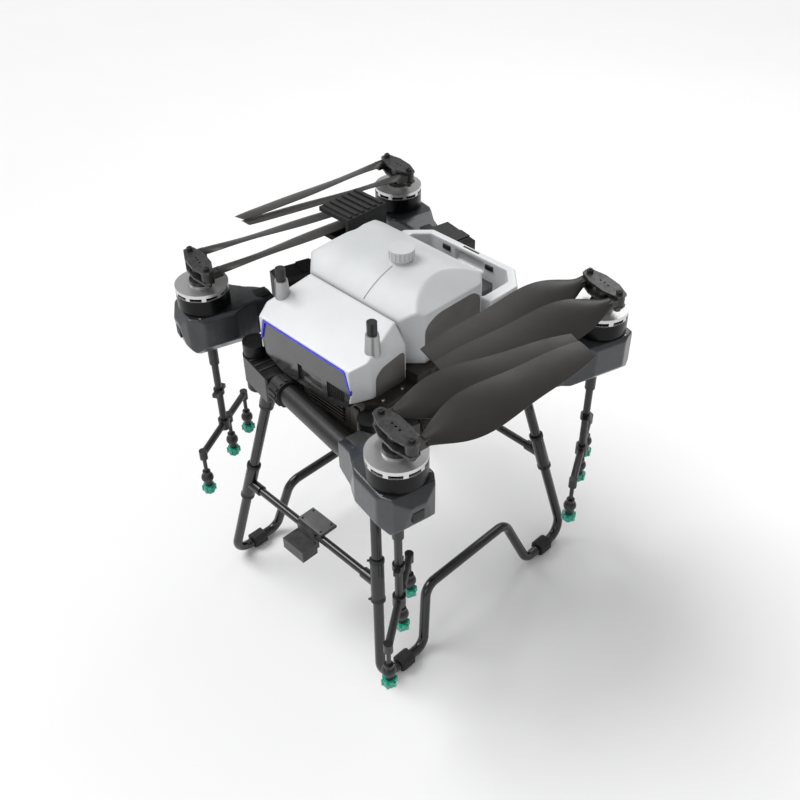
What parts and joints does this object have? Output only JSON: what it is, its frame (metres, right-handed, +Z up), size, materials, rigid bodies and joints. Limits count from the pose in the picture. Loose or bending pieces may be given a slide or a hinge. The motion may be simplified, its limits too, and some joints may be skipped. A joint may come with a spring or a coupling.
{
  "type": "agricultural spray drone",
  "caption": "Folding four-arm crop sprayer drone with lift-out tank, hinged arms and blades, spray booms and tubular skid legs.",
  "frame": {"origin": "on the ground, at the centre of the bounding box in plan, midway between the four motors", "axes": "+X forward, +Y the drone's left side, +Z up"},
  "size_m": [0.8734, 0.8796, 0.866],
  "materials": {
    "antenna_alloy": "satin silver with black tops",
    "arm_composite": "black carbon composite, satin",
    "battery_case": "dark battery case",
    "bay_plastic": "white satin moulding",
    "blade_composite": "dark grey moulded composite, matte",
    "boom_tube": "black tube",
    "box_plastic": "fine textured black moulding",
    "bracket_alloy": "black anodised alloy",
    "clamp_alloy": "grey anodised alloy plates",
    "collar_plastic": "ribbed black nylon",
    "cover_plastic": "light grey-white satin moulding",
    "electronics": "black housing",
    "fascia_gloss": "glossy dark grey panel",
    "foot_rubber": "black rubber",
    "frame_panel": "dark bronze-black panels",
    "leg_tube": "glossy black tube",
    "light_blue": "blue light strip",
    "motor_alloy": "machined silver top with black anodised sides",
    "motor_core": "black anodised",
    "nozzle_green": "green nylon nozzle caps",
    "pod_plastic": "dark grey satin moulding",
    "radar_case": "dark radar housing with a grey plate",
    "rest_rubber": "black foam rubber",
    "tank_plastic": "off-white satin polyethylene"
  },
  "bodies": {
    "root": {"antennas": "antenna_alloy", "battery_bay": "bay_plastic", "flight_controller": "electronics", "foot_pads": "foot_rubber", "frame": "frame_panel", "gear_cross_tubes": "leg_tube", "hinge_brackets": "bracket_alloy", "landing_gear_left": "leg_tube", "landing_gear_right": "leg_tube", "light_strip": "light_blue", "nose_cover": "cover_plastic", "nose_fascia": "fascia_gloss", "prop_rest": "rest_rubber", "radar": "radar_case", "spray_pump": "electronics"},
    "arm_front_right": {"arm_front_right": "arm_composite", "motor_pod_front_right": "pod_plastic", "stator_front_right": "motor_core", "spray_boom_front_right": "boom_tube", "nozzle_caps_front_right": "nozzle_green"},
    "collar_front_right": {"lock_collar_front_right": "collar_plastic"},
    "rotor_front_right": {"motor_bell_front_right": "motor_alloy", "prop_clamp_front_right": "clamp_alloy"},
    "blade_inner_front_right": {"blade_inner_front_right": "blade_composite"},
    "blade_outer_front_right": {"blade_outer_front_right": "blade_composite"},
    "arm_front_left": {"arm_front_left": "arm_composite", "motor_pod_front_left": "pod_plastic", "stator_front_left": "motor_core", "spray_boom_front_left": "boom_tube", "nozzle_caps_front_left": "nozzle_green"},
    "collar_front_left": {"lock_collar_front_left": "collar_plastic"},
    "rotor_front_left": {"motor_bell_front_left": "motor_alloy", "prop_clamp_front_left": "clamp_alloy"},
    "blade_inner_front_left": {"blade_inner_front_left": "blade_composite"},
    "blade_outer_front_left": {"blade_outer_front_left": "blade_composite"},
    "arm_rear_left": {"arm_rear_left": "arm_composite", "motor_pod_rear_left": "pod_plastic", "stator_rear_left": "motor_core", "spray_boom_rear_left": "boom_tube", "nozzle_caps_rear_left": "nozzle_green", "arm_box_rear_left": "box_plastic"},
    "collar_rear_left": {"lock_collar_rear_left": "collar_plastic"},
    "rotor_rear_left": {"motor_bell_rear_left": "motor_alloy", "prop_clamp_rear_left": "clamp_alloy"},
    "blade_inner_rear_left": {"blade_inner_rear_left": "blade_composite"},
    "blade_outer_rear_left": {"blade_outer_rear_left": "blade_composite"},
    "arm_rear_right": {"arm_rear_right": "arm_composite", "motor_pod_rear_right": "pod_plastic", "stator_rear_right": "motor_core", "spray_boom_rear_right": "boom_tube", "nozzle_caps_rear_right": "nozzle_green", "arm_box_rear_right": "box_plastic"},
    "collar_rear_right": {"lock_collar_rear_right": "collar_plastic"},
    "rotor_rear_right": {"motor_bell_rear_right": "motor_alloy", "prop_clamp_rear_right": "clamp_alloy"},
    "blade_inner_rear_right": {"blade_inner_rear_right": "blade_composite"},
    "blade_outer_rear_right": {"blade_outer_rear_right": "blade_composite"},
    "tank": {"tank": "tank_plastic"},
    "tank_cap": {"tank_cap": "tank_plastic"},
    "battery": {"battery": "battery_case"}
  },
  "joints": [
    {"name": "arm_fold_front_right", "type": "hinge", "parent": "root", "child": "arm_front_right", "pos_m": [0.24, -0.172, 0.6], "axis": [0, 0, 1], "range_deg": [-125, 0]},
    {"name": "collar_turn_front_right", "type": "hinge", "parent": "arm_front_right", "child": "collar_front_right", "pos_m": [0.26036, -0.05882, 0.60962], "axis": [0.1765, 0.9808, 0.0834], "range_deg": [0, 60]},
    {"name": "rotor_turn_front_right", "type": "hinge", "parent": "arm_front_right", "child": "rotor_front_right", "pos_m": [0.33102, 0.33388, 0.72], "axis": [0, 0, 1], "range_deg": [-170, 0]},
    {"name": "blade_inner_pivot_front_right", "type": "hinge", "parent": "rotor_front_right", "child": "blade_inner_front_right", "pos_m": [0.32348, 0.29022, 0.783], "axis": [0, 0, 1], "range_deg": [0, 1.2]},
    {"name": "blade_outer_pivot_front_right", "type": "hinge", "parent": "rotor_front_right", "child": "blade_outer_front_right", "pos_m": [0.33856, 0.37753, 0.783], "axis": [0, 0, 1], "range_deg": [-94.5, 0]},
    {"name": "arm_fold_front_left", "type": "hinge", "parent": "root", "child": "arm_front_left", "pos_m": [0.24, 0.172, 0.6], "axis": [0, 0, 1], "range_deg": [-118.2, 0]},
    {"name": "collar_turn_front_left", "type": "hinge", "parent": "arm_front_left", "child": "collar_front_left", "pos_m": [0.12979, 0.20485, 0.60962], "axis": [-0.955, 0.2847, 0.0834], "range_deg": [0, 60]},
    {"name": "rotor_turn_front_left", "type": "hinge", "parent": "arm_front_left", "child": "rotor_front_left", "pos_m": [-0.25258, 0.31884, 0.72], "axis": [0, 0, 1], "range_deg": [-2, 1.2]},
    {"name": "blade_inner_pivot_front_left", "type": "hinge", "parent": "rotor_front_left", "child": "blade_inner_front_left", "pos_m": [-0.26329, 0.27586, 0.783], "axis": [0, 0, 1], "range_deg": [-3, 0]},
    {"name": "blade_outer_pivot_front_left", "type": "hinge", "parent": "rotor_front_left", "child": "blade_outer_front_left", "pos_m": [-0.24186, 0.36183, 0.783], "axis": [0, 0, 1], "range_deg": [0, 1.2]},
    {"name": "arm_fold_rear_left", "type": "hinge", "parent": "root", "child": "arm_rear_left", "pos_m": [-0.24, 0.172, 0.6], "axis": [0, 0, 1], "range_deg": [-125, 0]},
    {"name": "collar_turn_rear_left", "type": "hinge", "parent": "arm_rear_left", "child": "collar_rear_left", "pos_m": [-0.26036, 0.05882, 0.60962], "axis": [-0.1765, -0.9808, 0.0834], "range_deg": [0, 60]},
    {"name": "rotor_turn_rear_left", "type": "hinge", "parent": "arm_rear_left", "child": "rotor_rear_left", "pos_m": [-0.33102, -0.33388, 0.72], "axis": [0, 0, 1], "range_deg": [-170, 0]},
    {"name": "blade_inner_pivot_rear_left", "type": "hinge", "parent": "rotor_rear_left", "child": "blade_inner_rear_left", "pos_m": [-0.32348, -0.29022, 0.783], "axis": [0, 0, 1], "range_deg": [0, 1.2]},
    {"name": "blade_outer_pivot_rear_left", "type": "hinge", "parent": "rotor_rear_left", "child": "blade_outer_rear_left", "pos_m": [-0.33856, -0.37753, 0.783], "axis": [0, 0, 1], "range_deg": [-94.5, 0]},
    {"name": "arm_fold_rear_right", "type": "hinge", "parent": "root", "child": "arm_rear_right", "pos_m": [-0.24, -0.172, 0.6], "axis": [0, 0, 1], "range_deg": [-118.2, 0]},
    {"name": "collar_turn_rear_right", "type": "hinge", "parent": "arm_rear_right", "child": "collar_rear_right", "pos_m": [-0.12979, -0.20485, 0.60962], "axis": [0.955, -0.2847, 0.0834], "range_deg": [0, 60]},
    {"name": "rotor_turn_rear_right", "type": "hinge", "parent": "arm_rear_right", "child": "rotor_rear_right", "pos_m": [0.25258, -0.31884, 0.72], "axis": [0, 0, 1], "range_deg": [0, 1.2]},
    {"name": "blade_inner_pivot_rear_right", "type": "hinge", "parent": "rotor_rear_right", "child": "blade_inner_rear_right", "pos_m": [0.26329, -0.27586, 0.783], "axis": [0, 0, 1], "range_deg": [0, 1.2]},
    {"name": "blade_outer_pivot_rear_right", "type": "hinge", "parent": "rotor_rear_right", "child": "blade_outer_rear_right", "pos_m": [0.24186, -0.36183, 0.783], "axis": [0, 0, 1], "range_deg": [0, 1.2]},
    {"name": "tank_lift", "type": "slide", "parent": "root", "child": "tank", "axis": [0, 0, 1], "range_m": [0, 0.12]},
    {"name": "tank_cap_lift", "type": "slide", "parent": "tank", "child": "tank_cap", "axis": [0, 0, 1], "range_m": [0, 0.06]},
    {"name": "battery_lift", "type": "slide", "parent": "root", "child": "battery", "axis": [0, 0, 1], "range_m": [0, 0.12]}
  ],
  "couplings": [
    {"joint": "arm_fold_front_left", "follows": "arm_fold_front_right", "ratio": 0.9456},
    {"joint": "arm_fold_rear_right", "follows": "arm_fold_rear_left", "ratio": 0.9456}
  ]
}
